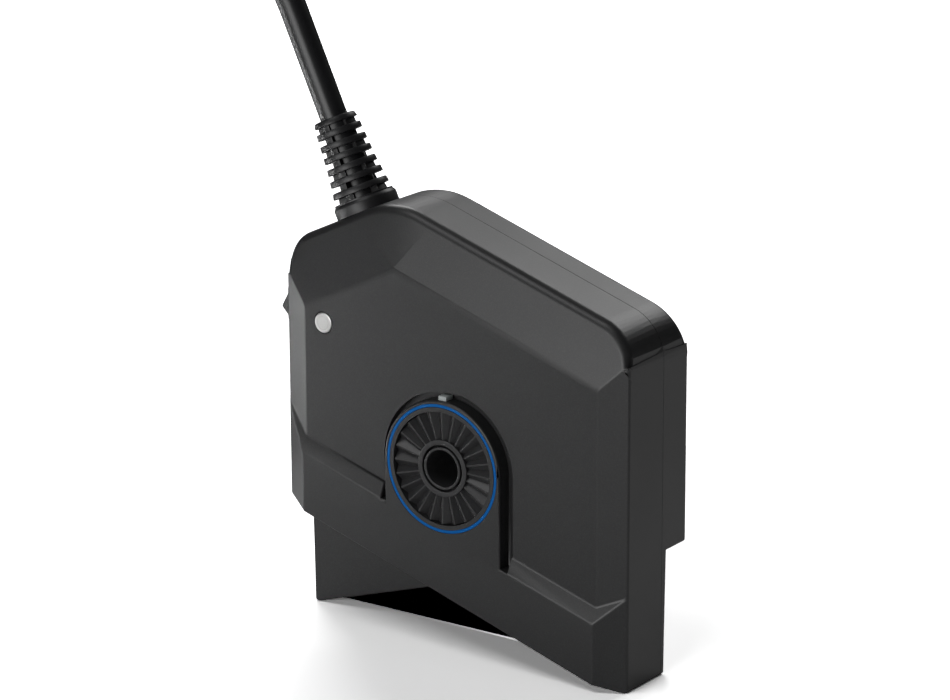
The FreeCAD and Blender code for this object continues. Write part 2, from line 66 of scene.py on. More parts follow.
def makeCamera(view):
    azimuth, elevation, roll = (math.radians(view[key]) for key in ("azimuth", "elevation", "roll"))
    back = Vector((math.sin(azimuth) * math.cos(elevation),
                   -math.cos(azimuth) * math.cos(elevation), math.sin(elevation)))
    right = (-back).cross(Vector((0, 0, 1))).normalized()
    up = right.cross(-back)
    turnedRight = right * math.cos(roll) + up * math.sin(roll)
    turnedUp = up * math.cos(roll) - right * math.sin(roll)
    data = bpy.data.cameras.new("camera")
    data.lens, data.sensor_width, data.clip_end = view["lens"], 36, 20
    camera = bpy.data.objects.new("camera", data)
    scene.collection.objects.link(camera)
    turn = Matrix((turnedRight, turnedUp, back)).transposed().to_4x4()
    camera.matrix_world = Matrix.Translation(Vector(view["place"])) @ turn
    scene.camera = camera


makeCamera(cameraView)
print("camera set")

# Node helpers for the materials


def link(tree, output, target):
    tree.links.new(output, target)


def node(tree, kind, **values):
    made = tree.nodes.new(kind)
    for name, value in values.items():
        setattr(made, name, value)
    return made


def setInputs(made, **values):
    for name, value in values.items():
        made.inputs[name.replace("_", " ")].default_value = value
    return made


def newGroup(name, inputs, outputs):
    group = bpy.data.node_groups.new(name, "ShaderNodeTree")
    for label, kind, value in inputs:
        socket = group.interface.new_socket(label, in_out="INPUT", socket_type=kind)
        if value is not None:
            socket.default_value = value
    for label, kind in outputs:
        group.interface.new_socket(label, in_out="OUTPUT", socket_type=kind)
    return group, group.nodes.new("NodeGroupInput"), group.nodes.new("NodeGroupOutput")


def mixColors(tree, factor, first, second, blend="MIX"):
    mix = node(tree, "ShaderNodeMix", data_type="RGBA", blend_type=blend)
    for socket, value in ((mix.inputs[0], factor), (mix.inputs[6], first), (mix.inputs[7], second)):
        if isinstance(value, bpy.types.NodeSocket):
            link(tree, value, socket)
        else:
            socket.default_value = value
    return mix.outputs[2]


def mouldedGrain():
    # Fine moulded texture: specks of height, with slow changes of tone and gloss
    tree, given, out = newGroup(
        "moulded grain",
        [("Color", "NodeSocketColor", (0.02, 0.02, 0.02, 1)), ("Grain Size", "NodeSocketFloat", 0.25),
         ("Grain Depth", "NodeSocketFloat", 0.02), ("Roughness", "NodeSocketFloat", 0.4),
         ("Tone Change", "NodeSocketFloat", 0.15), ("Fleck", "NodeSocketFloat", 0.1)],
        [("Color", "NodeSocketColor"), ("Roughness", "NodeSocketFloat"), ("Normal", "NodeSocketVector")])
    place = node(tree, "ShaderNodeTexCoord")
    scale = node(tree, "ShaderNodeMath", operation="DIVIDE")
    scale.inputs[0].default_value = 1000
    link(tree, given.outputs["Grain Size"], scale.inputs[1])
    fine = setInputs(node(tree, "ShaderNodeTexNoise"), Detail=3, Roughness=0.6)
    link(tree, place.outputs["Object"], fine.inputs["Vector"])
    link(tree, scale.outputs[0], fine.inputs["Scale"])
    slow = setInputs(node(tree, "ShaderNodeTexNoise"), Scale=38, Detail=3)
    link(tree, place.outputs["Object"], slow.inputs["Vector"])
    depth = node(tree, "ShaderNodeMath", operation="MULTIPLY")
    depth.inputs[1].default_value = mm
    link(tree, given.outputs["Grain Depth"], depth.inputs[0])
    bump = setInputs(node(tree, "ShaderNodeBump"), Strength=1.0)
    link(tree, fine.outputs["Fac"], bump.inputs["Height"])
    link(tree, depth.outputs[0], bump.inputs["Distance"])
    link(tree, bump.outputs["Normal"], out.inputs["Normal"])
    tone = setInputs(node(tree, "ShaderNodeMapRange"), From_Min=0.35, From_Max=0.65)
    link(tree, slow.outputs["Fac"], tone.inputs["Value"])
    amount = node(tree, "ShaderNodeMath", operation="MULTIPLY")
    link(tree, tone.outputs[0], amount.inputs[0])
    link(tree, given.outputs["Tone Change"], amount.inputs[1])
    lighter = mixColors(tree, amount.outputs[0], given.outputs["Color"], (0.5, 0.5, 0.5, 1),
                        blend="SOFT_LIGHT")
    speck = setInputs(node(tree, "ShaderNodeMapRange"), From_Min=0.45, From_Max=0.7)
    link(tree, fine.outputs["Fac"], speck.inputs["Value"])
    speckAmount = node(tree, "ShaderNodeMath", operation="MULTIPLY")
    link(tree, speck.outputs[0], speckAmount.inputs[0])
    link(tree, given.outputs["Fleck"], speckAmount.inputs[1])
    flecked = mixColors(tree, speckAmount.outputs[0], lighter, (0.25, 0.25, 0.25, 1))
    link(tree, flecked, out.inputs["Color"])
    change = setInputs(node(tree, "ShaderNodeMapRange"), To_Min=-0.05, To_Max=0.05)
    link(tree, slow.outputs["Fac"], change.inputs["Value"])
    rough = node(tree, "ShaderNodeMath", operation="ADD")
    link(tree, given.outputs["Roughness"], rough.inputs[0])
    link(tree, change.outputs[0], rough.inputs[1])
    link(tree, rough.outputs[0], out.inputs["Roughness"])
    return tree


grainGroup = mouldedGrain()

# Each finish: colour, grain size and depth in mm, roughness, change of tone and share of pale flecks;
# metal and shine are the shader's own constants
finishes = {
    "shell": dict(color=(0.0185, 0.0187, 0.0195), grain=0.28, depth=0.012, rough=0.37, tone=0.10, fleck=0.05),
    "hub_plastic": dict(color=(0.022, 0.022, 0.023), grain=0.22, depth=0.008, rough=0.30, tone=0.2,
                        fleck=0.05),
    "blue_plastic": dict(color=(0.0, 0.105, 0.37), shine=0.12, grain=0.3, depth=0.004, rough=0.5, tone=0.1,
                         fleck=0.0),
    "grey_plastic": dict(color=(0.40, 0.43, 0.43), grain=0.3, depth=0.004, rough=0.45, tone=0.1, fleck=0.0),
    "ceramic": dict(color=(0.70, 0.66, 0.58), grain=0.12, depth=0.004, rough=0.45, tone=0.2, fleck=0.1),
    "window": dict(color=(0.016, 0.016, 0.018), grain=0.6, depth=0.004, rough=0.28, tone=0.3, fleck=0.02),
    "backing": dict(color=(0.10, 0.08, 0.07), grain=0.5, depth=0.03, rough=0.8, tone=0.4, fleck=0.3),
    "chip_black": dict(color=(0.015, 0.015, 0.016), grain=0.2, depth=0.01, rough=0.6, tone=0.1, fleck=0.1),
    "boot_rubber": dict(color=(0.012, 0.012, 0.013), grain=0.3, depth=0.01, rough=0.42, tone=0.2, fleck=0.04),
    "seal_rubber": dict(color=(0.012, 0.012, 0.012), grain=0.3, depth=0.01, rough=0.55, tone=0.3, fleck=0.05),
    "cable_jacket": dict(color=(0.012, 0.012, 0.013), grain=0.25, depth=0.006, rough=0.36, tone=0.2,
                         fleck=0.02),
    "plug_plastic": dict(color=(0.018, 0.018, 0.019), grain=0.3, depth=0.012, rough=0.42, tone=0.2,
                         fleck=0.05),
    "collar_plastic": dict(color=(0.024, 0.024, 0.026), grain=0.3, depth=0.008, rough=0.36, tone=0.2,
                           fleck=0.04),
    "insert_plastic": dict(color=(0.035, 0.035, 0.037), grain=0.3, depth=0.006, rough=0.45, tone=0.2,
                           fleck=0.04),
    "steel": dict(color=(0.62, 0.62, 0.61), grain=0.2, depth=0.003, rough=0.36, tone=0.3, fleck=0.05,
                  metal=1.0),
    "aluminium": dict(color=(0.72, 0.72, 0.73), grain=0.3, depth=0.006, rough=0.38, tone=0.3, fleck=0.05,
                      metal=1.0),
    "gold": dict(color=(0.85, 0.60, 0.22), grain=0.4, depth=0.001, rough=0.2, tone=0.2, fleck=0.0, metal=1.0),
    "flex_film": dict(color=(0.45, 0.18, 0.03), grain=0.5, depth=0.003, rough=0.3, tone=0.3, fleck=0.1),
    "circuit_board": dict(color=(0.012, 0.10, 0.045), grain=0.5, depth=0.01, rough=0.35, tone=0.3, fleck=0.1),
    "tie_strap": dict(color=(0.02, 0.02, 0.021), grain=0.35, depth=0.05, rough=0.85, tone=0.3, fleck=0.15),
}
materials = {}


def makeMaterial(slotName, facts):
    material = bpy.data.materials.new(slotName)
    material.use_nodes = True
    tree = material.node_tree
    shader = tree.nodes["Principled BSDF"]
    grain = node(tree, "ShaderNodeGroup", node_tree=grainGroup)
    setInputs(grain, Color=facts["color"] + (1,), Grain_Size=facts["grain"], Grain_Depth=facts["depth"],
              Roughness=facts["rough"], Tone_Change=facts["tone"], Fleck=facts["fleck"])
    link(tree, grain.outputs["Color"], shader.inputs["Base Color"])
    link(tree, grain.outputs["Roughness"], shader.inputs["Roughness"])
    link(tree, grain.outputs["Normal"], shader.inputs["Normal"])
    shader.inputs["Metallic"].default_value = facts.get("metal", 0.0)
    shader.inputs["Specular IOR Level"].default_value = facts.get("shine", 0.5)
    materials[slotName] = material


for slotName, facts in finishes.items():
    makeMaterial(slotName, facts)
slotOf = {part["node"]: part["material_slot"] for part in frame["record"]["subparts"]}
for name, cadNode in nodes.items():
    cadNode.data.materials.clear()
    cadNode.data.materials.append(materials[slotOf[name]])
print("finishes made:", len(materials))

# Cable
cable = {
    "diameter": 8.0 * mm,
    "length": 5.87,         # metres, from the boot to the plug
    "tilt": 25.0,           # degrees from upright as it leaves the boot
    "exit": (-37.9, 0, 118.8),
    "bootLength": 27.7,
    "straight": 44,         # straight stretch past the boot
    "route": [(-92, -2, 200), (-127, -7, 206), (-157, -14, 190), (-174, -21, 160), (-177, -26, 125),
              (-172, -30, 92), (-168, -33, 62), (-171, -34, 38), (-181, -33.5, 21), (-197, -32.5, 9.5),
              (-215, -32, 5.2)],
    "tail": [(-247, -24, 5.2), (-260, -20.5, 5.8), (-274, -13.5, 7.6), (-288, -5.5, 10.0),
             (-302, 0, 11.7), (-315, 0, 11.7)],
    "near": -235, "far": -355,          # where the hank's straight runs end
    "outerRadius": 32, "innerRadius": 24,
    "layers": 7, "lowest": 5.2, "pitch": 8.0,
}
tilt = math.radians(cable["tilt"])
exitAxis = Vector((-math.sin(tilt), 0, math.cos(tilt)))
exitPoint = Vector(cable["exit"]) * mm
bootTip = exitPoint + exitAxis * cable["bootLength"] * mm


def hankBend(facts, end, radius, startHeight, endHeight):
    # Half a turn at one end of the hank: four points outside the arc, 45 degrees apart
    reach = radius / math.cos(math.radians(22.5))
    points = []
    for step in range(4):
        angle = math.radians(67.5 - 45 * step)
        across, along = reach * math.sin(angle), reach * math.cos(angle)
        height = startHeight + (endHeight - startHeight) * step / 3
        if end == "near":
            points.append((facts["near"] + along, across, height))
        else:
            points.append((facts["far"] - along, -across, height))
    return points


def hankRun(facts, side, startRadius, endRadius, height):
    # Straight run; side -1 is the front one, which heads away from the housing
    lead = math.tan(math.radians(22.5))
    if side < 0:
        return [(facts["near"] - lead * startRadius, side * startRadius, height),
                (facts["far"] + lead * endRadius, side * endRadius, height)]
    return [(facts["far"] + lead * startRadius, side * startRadius, height),
            (facts["near"] - lead * endRadius, side * endRadius, height)]


def hankTurns(facts):
    # Up through the outer turns, then down through the inner ones
    outer, inner, top = facts["outerRadius"], facts["innerRadius"], facts["layers"] - 1
    heights = [facts["lowest"] + facts["pitch"] * layer for layer in range(facts["layers"])]
    points = []
    for layer in range(facts["layers"]):
        level = heights[layer]
        points += hankRun(facts, -1, outer, outer, level) + hankBend(facts, "far", outer, level, level)
        if layer < top:
            points += hankRun(facts, 1, outer, outer, level)
            points += hankBend(facts, "near", outer, level, heights[layer + 1])
        else:
            points += hankRun(facts, 1, outer, inner, level) + hankBend(facts, "near", inner, level, level)
    for layer in range(top, 0, -1):
        level, below = heights[layer], heights[layer - 1]
        points += hankRun(facts, -1, inner, inner, level) + hankBend(facts, "far", inner, level, below)
        points += hankRun(facts, 1, inner, inner, below) + hankBend(facts, "near", inner, below, below)
    return points


def makeCable(facts):
    straight = facts["straight"]
    points = [bootTip, bootTip + exitAxis * straight / 2 * mm, bootTip + exitAxis * straight * mm]
    points += [Vector(p) * mm for p in facts["route"] + hankTurns(facts) + facts["tail"]]
    curve = bpy.data.curves.new("cable_run", "CURVE")
    curve.dimensions = "3D"
    curve.bevel_depth = facts["diameter"] / 2
    curve.bevel_resolution = 6
    curve.resolution_u = 6
    curve.use_fill_caps = True
    spline = curve.splines.new("NURBS")
    spline.points.add(len(points) - 1)
    for spot, point in zip(spline.points, points):
        spot.co = (*point, 1)
    spline.order_u = 3
    spline.use_endpoint_u = True
    spline.use_smooth = True
    made = bpy.data.objects.new("cable_run", curve)
    scene.collection.objects.link(made)
    curve.materials.append(materials["cable_jacket"])
    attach(made, main)
    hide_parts("cable", "cable_tail", "cable_hank")
    return made


cableRun = makeCable(cable)
print("cable made")

# Mesh helpers


def addPiece(name, mesh, slotName, body=main, replaced=(), crease=30):
    if crease:
        mesh.shade_smooth()
        mesh.set_sharp_from_angle(angle=math.radians(crease))
    made = bpy.data.objects.new(name, mesh)
    scene.collection.objects.link(made)
    mesh.materials.clear()
    mesh.materials.append(materials[slotName])
    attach(made, body)
    if replaced:
        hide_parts(*replaced)
    return made


def meshFrom(bm, name):
    bmesh.ops.recalc_face_normals(bm, faces=bm.faces)
    mesh = bpy.data.meshes.new(name)
    bm.to_mesh(mesh)
    bm.free()
    return mesh


def middleOf(name):
    lowest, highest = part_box(name)
    return (lowest + highest) / 2


def axisPlace(origin, axis):
    # Takes local Z to the axis and local zero to the origin
    turn = Vector((0, 0, 1)).rotation_difference(Vector(axis))
    return Matrix.Translation(origin) @ turn.to_matrix().to_4x4()


def roundCorners(points, radius, steps=3, closed=False):
    # Profile with each corner cut into a short arc
    result = []
    count = len(points)
    for i, (r, s) in enumerate(points):
        if not closed and i in (0, count - 1):
            result.append((r, s))
            continue
        here = Vector((r, s))
        before, after = Vector(points[i - 1]), Vector(points[(i + 1) % count])
        toBefore, toAfter = before - here, after - here
        size = min(radius, 0.45 * toBefore.length, 0.45 * toAfter.length)
        start, end = here + toBefore.normalized() * size, here + toAfter.normalized() * size
        for step in range(steps + 1):
            t = step / steps
            result.append(tuple(start * (1 - t) ** 2 + here * 2 * t * (1 - t) + end * t ** 2))
    return result


def spinProfile(bm, profile, place, steps=96, closed=False, shape=None):
    # Turns (radius, along) points in mm about an axis; shape changes the radius with the angle
    rings = []
    for r, s in profile:
        if r <= 0:
            rings.append([bm.verts.new(place @ Vector((0, 0, s * mm)))])
            continue
        ring = []
        for i in range(steps):
            angle = 2 * math.pi * i / steps
            reach = shape(r, s, angle) if shape else r
            spot = Vector((reach * math.cos(angle), reach * math.sin(angle), s)) * mm
            ring.append(bm.verts.new(place @ spot))
        rings.append(ring)
    pairs = list(zip(rings, rings[1:] + rings[:1] if closed else rings[1:]))
    for first, second in pairs:
        for i in range(steps):
            j = (i + 1) % steps
            if len(first) == 1:
                bm.faces.new((first[0], second[j], second[i]))
            elif len(second) == 1:
                bm.faces.new((first[i], first[j], second[0]))
            else:
                bm.faces.new((first[i], first[j], second[j], second[i]))


def spunPiece(name, profile, place, slotName, body=main, replaced=(), steps=96, closed=False, shape=None,
              rounding=0.0, crease=30):
    bm = bmesh.new()
    if rounding:
        profile = roundCorners(profile, rounding, closed=closed)
    spinProfile(bm, profile, place, steps, closed, shape)
    return addPiece(name, meshFrom(bm, name), slotName, body, replaced, crease)


# Housing: the frame's own shells with every outer edge rounded, in mm
housing = {
    "edge": 0.42,           # most edges
    "topEdge": 2.3,         # where the broad bevels meet the top
    "sideEdge": 0.55,       # where the narrow bevels meet the sides
    "panelEdge": 1.1,       # where the panel turns into a broad bevel
    "cornerEdge": 1.9,      # where two broad bevels meet at the apex
    "moatEdge": 0.65,       # both sides of the groove round the hub
    "fan": (-46, -38, -29, -19, -9, 0, 9, 19, 29, 38, 46),     # degrees off the apex crease
    "seam": 0.13,
    "seamReach": 0.05,      # edges this near to the plane of the joint belong to the seam
    "hole": 0.15,
    "sharpAngle": 13.9,     # degrees; flatter joins are left alone
    "flatAngle": 5,         # the same between two faces that both look to the front or the back
    "segments": 4,
    "shortShare": 0.42,     # most of a short edge that one rounding takes
    "inLine": 0.8,          # cosine past which one edge carries on another
    "hubFree": 19.2,        # inside this radius the hub's own pieces cover the edges
    "holesBelow": 40,       # under this height, edges off the panels and bevels are rounded as holes
    "bevelsAbove": 80,      # height over which the broad bevels lie
    "outsideFrom": 15,      # distance from the middle plane at which the outside faces start
    "moat": (19.3, 22.4),   # the groove's radii, with room on both sides
    "moatFoot": -22,        # end of the groove's straight arms, from the hub's middle
    "bevelLean": (0.8, 0.995),      # share of a bevel's normal that looks to the front or the back
    "broadRise": (0.15, 0.4),       # share that looks up, on a broad bevel
    "narrowSide": 0.2,      # least share that looks sideways, on a narrow bevel
    "level": 0.05,          # a normal's share below this counts as none
    "merge": 0.03,          # points of the frame's mesh nearer than this are one
    "flatJoin": 0.6,        # degrees under which two of its faces are one
    "near": 0.02,           # lengths under this count as none
}
hubMiddle = middleOf("hub_sleeve")
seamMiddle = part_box("front_shell")[1].y


def leans(normal):
    low, high = housing["bevelLean"]
    return low < abs(normal.y) < high


def isBroad(normal):
    low, high = housing["broadRise"]
    return leans(normal) and low < normal.z < high


def isNarrow(normal):
    return leans(normal) and abs(normal.x) > housing["narrowSide"] and abs(normal.z) < housing["level"]


def nearMoat(point):
    x, z = abs(point.x - hubMiddle.x) / mm, (point.z - hubMiddle.z) / mm
    reach = math.hypot(x, z) if z > 0 else x
    inner, outer = housing["moat"]
    return inner < reach < outer and z > housing["moatFoot"]


def edgeWidth(edge, facts):
    first, second = (face.normal for face in edge.link_faces)
    middle = (edge.verts[0].co + edge.verts[1].co) / 2
    if math.hypot(middle.x - hubMiddle.x, middle.z - hubMiddle.z) < facts["hubFree"] * mm:
        return 0
    if abs(middle.y - seamMiddle) < facts["seamReach"] * mm:
        return facts["seam"]
    bevels = [n for n in (first, second) if isBroad(n) or isNarrow(n)]
    if len(bevels) == 2:
        return facts["cornerEdge"] if isBroad(first) and isBroad(second) else facts["edge"]
    walls = [n for n in (first, second) if abs(n.y) < facts["level"]]
    panels = [n for n in (first, second) if abs(n.y) > facts["bevelLean"][1]]
    if panels and walls and nearMoat(middle):
        return facts["moatEdge"]
    if bevels and walls:
        return facts["topEdge"] if isBroad(bevels[0]) else facts["sideEdge"]
    if bevels and panels:
        return facts["panelEdge"] if isBroad(bevels[0]) else facts["edge"]
    if middle.z < facts["holesBelow"] * mm and not panels and not bevels:
        return facts["hole"]
    return facts["edge"]


def roomFor(edge, wanted, facts):
    # A rounding takes less than half of each short edge that it runs into
    limit = wanted
    along = (edge.verts[1].co - edge.verts[0].co).normalized()
    for vert in edge.verts:
        for other in vert.link_edges:
            way = (other.other_vert(vert).co - vert.co).normalized()
            if other == edge or abs(way.dot(along)) > facts["inLine"]:
                continue
            limit = min(limit, facts["shortShare"] * other.calc_length() / mm)
    return limit


def outerEdges(bm, facts):
    # Edges that see the outside, by a ray along the mean of their faces' normals
    tree = BVHTree.FromBMesh(bm)
    found = []
    for edge in bm.edges:
        if len(edge.link_faces) != 2:
            continue
        flat = all(abs(face.normal.y) > facts["bevelLean"][0] for face in edge.link_faces)
        if edge.calc_face_angle(0) < math.radians(facts["flatAngle"] if flat else facts["sharpAngle"]):
            continue
        middle = (edge.verts[0].co + edge.verts[1].co) / 2
        outward = (edge.link_faces[0].normal + edge.link_faces[1].normal).normalized()
        if tree.ray_cast(middle + outward * facts["near"] * mm, outward)[0] is None:
            found.append(edge)
    return found


def turnFrom(spine, start, point):
    # Degrees from the spine to the point, seen from the front
    way = (point - start).xz.normalized()
    return math.degrees(math.atan2(spine.x * way.y - spine.y * way.x, spine.dot(way)))


def blendCorner(bm, edge, facts):
    # Cuts the faces beside a crease into a fan from its inner end, then rounds the fan's outer rim
    inner, outer = sorted(edge.verts, key=lambda v: -abs(v.co.y))
    start, spine = inner.co.copy(), (outer.co - inner.co).xz.normalized()
    first, second = (face.normal.copy() for face in edge.link_faces)
    for angle in facts["fan"]:
        turned = math.radians(angle)
        across = Vector((math.cos(turned) * spine.x - math.sin(turned) * spine.y, 0,
                         math.sin(turned) * spine.x + math.cos(turned) * spine.y))
        across = across.cross(Vector((0, 1, 0)))
        cut = [f for f in bm.faces if f.normal.y * first.y > facts["bevelLean"][0]
               and (isBroad(f.normal) or isNarrow(f.normal))
               and f.calc_center_median().z > facts["bevelsAbove"] * mm and start in [v.co for v in f.verts]]
        parts = cut + list({e for f in cut for e in f.edges}) + list({v for f in cut for v in f.verts})
        bmesh.ops.bisect_plane(bm, geom=parts, plane_co=start, plane_no=across, dist=facts["near"] * mm)
    bm.normal_update()
    middles = [v for v in bm.verts if (v.co - start).length < facts["near"] / 2 * mm]
    fan = {f for v in middles for f in v.link_faces if isBroad(f.normal)}
    rim = {v for f in fan for v in f.verts if (v.co - start).length > 3 * mm}
    limit = max(facts["fan"])
    inward = 1 if start.y < 0 else -1
    gaps = {}
    for vert in rim:
        way = (vert.co - start) / (vert.co - start).xz.length
        if abs(turnFrom(spine, start, vert.co)) < limit + 0.5:
            gaps[vert] = abs((first.x * way.x + first.z * way.z) / first.y
                             - (second.x * way.x + second.z * way.z) / second.y)
    most = max(gaps.values())
    for vert, gap in gaps.items():
        vert.co.y += inward * (vert.co - start).xz.length * most / 4 * max(0, 1 - gap / most) ** 2


def isApex(edge, facts):
    # The outside crease where the two broad bevels meet
    if len(edge.link_faces) != 2 or not all(isBroad(face.normal) for face in edge.link_faces):
        return False
    if min(vert.co.z for vert in edge.verts) <= facts["bevelsAbove"] * mm:
        return False
    return max(abs(vert.co.y) for vert in edge.verts) > facts["outsideFrom"] * mm


def shellPiece(name, cadName, facts):
    mesh = nodes[cadName].data.copy()
    bm = bmesh.new()
    bm.from_mesh(mesh)
    bmesh.ops.remove_doubles(bm, verts=bm.verts, dist=facts["merge"] * mm)
    bmesh.ops.dissolve_limit(bm, angle_limit=math.radians(facts["flatJoin"]), verts=bm.verts, edges=bm.edges)
    bm.normal_update()
    creases = [{tuple(v.co) for v in e.verts} for e in bm.edges if isApex(e, facts)]
    for ends in creases:
        # the cuts of one blend renew the edges, so each crease is found again by its ends
        for edge in bm.edges:
            if {tuple(v.co) for v in edge.verts} == ends:
                blendCorner(bm, edge, facts)
                break
    bm.normal_update()
    weights = bm.edges.layers.float.new("bevel_weight_edge")
    for edge in outerEdges(bm, facts):
        edge[weights] = roomFor(edge, edgeWidth(edge, facts), facts) / facts["topEdge"]
    bm.to_mesh(mesh)
    bm.free()
    mesh.shade_smooth()
    mesh.set_sharp_from_angle(angle=math.radians(facts["sharpAngle"]))
    holder = bpy.data.objects.new("sharp", mesh)
    scene.collection.objects.link(holder)
    rounding = holder.modifiers.new("edge rounding", "BEVEL")
    rounding.limit_method = "WEIGHT"
    rounding.width = facts["topEdge"] * mm
    rounding.segments = facts["segments"]
    rounding.harden_normals = True
    rounding.use_clamp_overlap = False
    depsgraph = bpy.context.evaluated_depsgraph_get()
    rounded = bpy.data.meshes.new_from_object(holder.evaluated_get(depsgraph))
    bpy.data.objects.remove(holder)
    # no rounding may stand out of the frame's own box
    low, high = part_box(cadName)
    for vert in rounded.vertices:
        vert.co = [min(max(vert.co[i], low[i]), high[i]) for i in range(3)]
    return addPiece(name, rounded, "shell", main, (cadName,), crease=None)


for label in ("front", "rear"):
    shellPiece(label + "_housing", label + "_shell", housing)
print("housing made")

# Copies turned about an axis


def turnedCopies():
    tree = bpy.data.node_groups.new("turned copies", "GeometryNodeTree")
    face = tree.interface
    face.new_socket("Geometry", in_out="INPUT", socket_type="NodeSocketGeometry")
    face.new_socket("Count", in_out="INPUT", socket_type="NodeSocketInt")
    face.new_socket("Middle", in_out="INPUT", socket_type="NodeSocketVector")
    face.new_socket("Axis", in_out="INPUT", socket_type="NodeSocketVector")
    face.new_socket("Material", in_out="INPUT", socket_type="NodeSocketMaterial")
    face.new_socket("Geometry", in_out="OUTPUT", socket_type="NodeSocketGeometry")
    given, out = tree.nodes.new("NodeGroupInput"), tree.nodes.new("NodeGroupOutput")
    points = node(tree, "GeometryNodePoints")
    link(tree, given.outputs["Count"], points.inputs["Count"])
    link(tree, given.outputs["Middle"], points.inputs["Position"])
    step = node(tree, "ShaderNodeMath", operation="DIVIDE")
    step.inputs[0].default_value = 2 * math.pi
    link(tree, given.outputs["Count"], step.inputs[1])
    angle = node(tree, "ShaderNodeMath", operation="MULTIPLY")
    link(tree, node(tree, "GeometryNodeInputIndex").outputs[0], angle.inputs[0])
    link(tree, step.outputs[0], angle.inputs[1])
    turn = node(tree, "FunctionNodeAxisAngleToRotation")
    link(tree, given.outputs["Axis"], turn.inputs["Axis"])
    link(tree, angle.outputs[0], turn.inputs["Angle"])
    copies = node(tree, "GeometryNodeInstanceOnPoints")
    link(tree, points.outputs[0], copies.inputs["Points"])
    link(tree, given.outputs["Geometry"], copies.inputs["Instance"])
    link(tree, turn.outputs[0], copies.inputs["Rotation"])
    real = node(tree, "GeometryNodeRealizeInstances")
    link(tree, copies.outputs[0], real.inputs[0])
    paint = node(tree, "GeometryNodeSetMaterial")
    link(tree, real.outputs[0], paint.inputs["Geometry"])
    link(tree, given.outputs["Material"], paint.inputs["Material"])
    link(tree, paint.outputs[0], out.inputs[0])
    return tree


copiesTree = turnedCopies()


def joinRepeated(bm, mesh, count, middle, axis, slotName):
    # Adds the turned copies to bm as plain faces
    holder = bpy.data.objects.new("copies", mesh)
    scene.collection.objects.link(holder)
    modifier = holder.modifiers.new("copies", "NODES")
    modifier.node_group = copiesTree
    values = {"Count": count, "Middle": middle, "Axis": axis, "Material": materials[slotName]}
    for item in copiesTree.interface.items_tree:
        if item.in_out == "INPUT" and item.name in values:
            modifier[item.identifier] = values[item.name]
    depsgraph = bpy.context.evaluated_depsgraph_get()
    copies = bpy.data.meshes.new_from_object(holder.evaluated_get(depsgraph))
    bpy.data.objects.remove(holder)
    bm.from_mesh(copies)
    bpy.data.meshes.remove(copies)


# Hub: sleeve, toothed rings and coloured rings, in mm; depths run inwards from the hub's face
hub = {
    "face": 19.55,
    "teeth": 24,
    "inner": 7.9, "outer": 16.05,
    "valley": 1.85, "crest": 0.36, "innerCrest": 0.74,
    "crestHalf": 0.8,       # degrees, at the outer end
    "innerSpread": 1.6,     # the same flat takes this much more of the turn at its inner end
    "crestFall": 0.04,      # the flat's two sides lie this much deeper than its middle
    "toothRoot": 0.2,       # how far the teeth sink into their ring
    "back": 3.6,
    "bossInner": 6.7, "bossOuter": 8.2, "bossDepth": 0.36,
    "round": 0.22,
    "sleeve": (5.25, 6.1), "sleeveDepth": 0.35, "sleeveRound": 0.3,
    "aimRing": (17.6, 18.5), "aimDepth": 0.75,
}
hubX, hubZ = hubMiddle.x / mm, hubMiddle.z / mm


def toothMesh(facts, side):
    # One tooth about the hub's own axis, with a narrow flat along its crest
    bm = bmesh.new()
    half = math.pi / facts["teeth"] * 0.99
    top = math.radians(facts["crestHalf"])
    root, foot = facts["valley"] + facts["toothRoot"], facts["valley"] - 0.02
    ends = ((facts["inner"], facts["innerCrest"], facts["innerSpread"]),
            (facts["outer"], facts["crest"], 1.0))
    loops = []
    for radius, crest, spread in ends:
        ring = []
        edge = crest + facts["crestFall"]
        for turn, depth in ((-half, root), (-half, foot), (-top * spread, edge), (0, crest),
                            (top * spread, edge), (half, foot), (half, root)):
            y = side * (facts["face"] - depth)
            ring.append(bm.verts.new(Vector((radius * math.sin(turn), y, radius * math.cos(turn))) * mm))
        loops.append(ring)
    count = len(loops[0])
    for i in range(count):
        j = (i + 1) % count
        bm.faces.new((loops[0][i], loops[0][j], loops[1][j], loops[1][i]))
    bm.faces.new(loops[0])
    bm.faces.new(loops[1])
    return meshFrom(bm, "tooth")


def splinePiece(label, side, place, facts):
    boss, bossDepth, valley, back = facts["bossOuter"], facts["bossDepth"], facts["valley"], facts["back"]
    profile = [(facts["bossInner"], bossDepth), (boss, bossDepth), (boss, valley),
               (facts["outer"], valley), (facts["outer"], back), (facts["bossInner"], back)]
    bm = bmesh.new()
    spinProfile(bm, roundCorners(profile, facts["round"], closed=True), place, closed=True)
    joinRepeated(bm, toothMesh(facts, side), facts["teeth"], Vector((hubX, 0, hubZ)) * mm, (0, 1, 0),
                 "hub_plastic")
    addPiece("teeth_" + label, meshFrom(bm, "teeth_" + label), "hub_plastic",
             replaced=("hub_spline_" + label,), crease=24)


def makeHub(facts):
    for label, side in (("front", -1), ("rear", 1)):
        place = axisPlace(Vector((hubX, side * facts["face"], hubZ)) * mm, (0, -side, 0))
        splinePiece(label, side, place, facts)
        low, high = facts["aimRing"]
        profile = [(low, 0), (high, 0), (high, facts["aimDepth"]), (low, facts["aimDepth"])]
        spunPiece("ring_" + label, profile, place, "blue_plastic", replaced=("aim_ring_" + label,),
                  steps=128, closed=True, rounding=facts["round"])
    low, high = facts["sleeve"]
    reach = facts["face"] - facts["sleeveDepth"]
    place = axisPlace(Vector((hubX, 0, hubZ)) * mm, (0, 1, 0))
    profile = [(low, -reach), (high, -reach), (high, reach), (low, reach)]
    spunPiece("bore_sleeve", profile, place, "hub_plastic", replaced=("hub_sleeve",), closed=True,
              rounding=facts["sleeveRound"])


makeHub(hub)
print("hub made")

